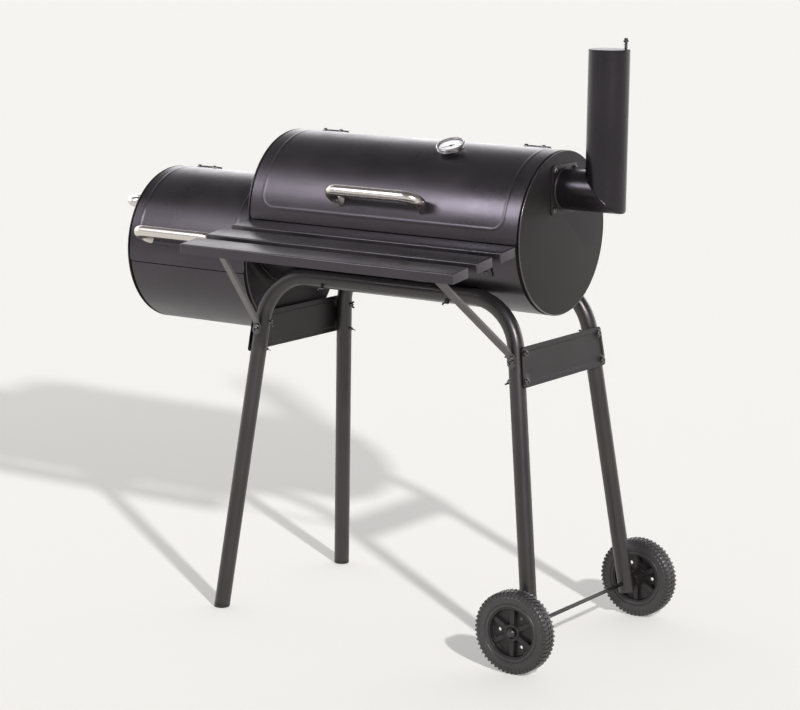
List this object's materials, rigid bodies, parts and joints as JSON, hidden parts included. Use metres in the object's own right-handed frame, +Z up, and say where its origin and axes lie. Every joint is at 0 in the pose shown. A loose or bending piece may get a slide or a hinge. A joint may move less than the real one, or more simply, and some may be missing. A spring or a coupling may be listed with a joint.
{
  "type": "offset smoker",
  "caption": "Barrel smoker and grill with a side firebox, hinged lids, an elbow chimney, a slatted front shelf and a tubular stand on wheels.",
  "frame": {"origin": "on the floor, under the middle of the object's bounding box", "axes": "+X from the firebox to the chimney, along the barrels' axes; -Y towards the front shelf; +Z up"},
  "size_m": [1.0752, 0.6066, 1.1119],
  "materials": {
    "barrel_coat": "satin black powder coat on rolled sheet",
    "plate_coat": "low-sheen black powder coat on pressed discs",
    "stack_coat": "satin black powder coat on the chimney",
    "frame_coat": "satin black powder coat on tube and plate",
    "shelf_coat": "satin black powder coat on folded slats",
    "grate_enamel": "black enamel",
    "handle_chrome": "bright chrome plate",
    "dial_case": "bright pressed case",
    "black_hardware": "blackened zinc plate",
    "wheel_plastic": "moulded black plastic",
    "tyre": "dull black tread",
    "foot_plastic": "moulded black plastic",
    "dial_face": "printed white dial",
    "needle_red": "painted red",
    "dial_lens": "clear lens"
  },
  "bodies": {
    "stand_and_barrels": {"main_barrel_shell": "barrel_coat", "firebox_shell": "barrel_coat", "main_end_plate_left": "plate_coat", "main_end_plate_right": "plate_coat", "firebox_end_plate_left": "plate_coat", "firebox_end_plate_right": "plate_coat", "chimney_pipe": "stack_coat", "chimney_flange": "stack_coat", "front_leg_left": "frame_coat", "front_leg_right": "frame_coat", "back_leg_left": "frame_coat", "back_leg_right": "frame_coat", "cross_plate_left": "frame_coat", "cross_plate_right": "frame_coat", "axle": "frame_coat", "shelf_slat_inner": "shelf_coat", "shelf_slat_middle": "shelf_coat", "shelf_slat_outer": "shelf_coat", "shelf_bracket_left": "shelf_coat", "shelf_bracket_right": "shelf_coat", "shelf_strut_left": "shelf_coat", "shelf_strut_right": "shelf_coat", "cooking_grate": "grate_enamel", "main_charcoal_grate": "grate_enamel", "firebox_charcoal_grate": "grate_enamel", "transport_handle": "handle_chrome", "main_hinge_left_leaf_lower": "black_hardware", "main_hinge_left_pin": "black_hardware", "main_hinge_right_leaf_lower": "black_hardware", "main_hinge_right_pin": "black_hardware", "firebox_hinge_left_leaf_lower": "black_hardware", "firebox_hinge_left_pin": "black_hardware", "firebox_hinge_right_leaf_lower": "black_hardware", "firebox_hinge_right_pin": "black_hardware", "damper_pivot": "black_hardware", "damper_spring": "black_hardware", "damper_nut": "black_hardware", "axle_nut_front": "black_hardware", "axle_nut_back": "black_hardware", "foot_cap_front": "foot_plastic", "foot_cap_back": "foot_plastic"},
    "main_lid": {"main_lid_shell": "barrel_coat", "main_lid_handle": "handle_chrome", "thermometer_case": "dial_case", "thermometer_dial": "dial_face", "thermometer_glass": "dial_lens", "main_hinge_left_leaf_upper": "black_hardware", "main_hinge_right_leaf_upper": "black_hardware"},
    "firebox_lid": {"firebox_lid_shell": "barrel_coat", "firebox_lid_handle": "handle_chrome", "firebox_hinge_left_leaf_upper": "black_hardware", "firebox_hinge_right_leaf_upper": "black_hardware"},
    "chimney_damper": {"chimney_damper": "stack_coat"},
    "air_vent": {"air_vent_shutter": "plate_coat"},
    "dial_needle": {"thermometer_needle": "needle_red"},
    "wheel_front": {"wheel_tyre_front": "tyre", "wheel_hub_front": "wheel_plastic"},
    "wheel_back": {"wheel_tyre_back": "tyre", "wheel_hub_back": "wheel_plastic"}
  },
  "joints": [
    {"name": "main_lid_hinge", "type": "hinge", "parent": "stand_and_barrels", "child": "main_lid", "pos_m": [0.10991, 0.11269, 0.90092], "axis": [-1, 0, 0], "range_deg": [0, 145]},
    {"name": "firebox_lid_hinge", "type": "hinge", "parent": "stand_and_barrels", "child": "firebox_lid", "pos_m": [-0.33759, 0.11269, 0.80892], "axis": [-1, 0, 0], "range_deg": [0, 145]},
    {"name": "chimney_damper_swivel", "type": "hinge", "parent": "stand_and_barrels", "child": "chimney_damper", "pos_m": [0.52381, 0.06489, 1.0904], "axis": [0, 0, 1], "range_deg": [0, 120]},
    {"name": "air_vent_turn", "type": "hinge", "parent": "stand_and_barrels", "child": "air_vent", "pos_m": [-0.48409, 0.05725, 0.6165], "axis": [-1, 0, 0], "range_deg": [0, 60]},
    {"name": "dial_needle_turn", "type": "hinge", "parent": "main_lid", "child": "dial_needle", "pos_m": [0.20541, -0.00123, 0.90123], "axis": [0, -0.3746, 0.9272], "range_deg": [-250, 0]},
    {"name": "wheel_front_spin", "type": "hinge", "parent": "stand_and_barrels", "child": "wheel_front", "pos_m": [0.46259, -0.16975, 0.075], "axis": [0, 1, 0], "continuous": true},
    {"name": "wheel_back_spin", "type": "hinge", "parent": "stand_and_barrels", "child": "wheel_back", "pos_m": [0.46259, 0.28425, 0.075], "axis": [0, 1, 0], "continuous": true}
  ]
}
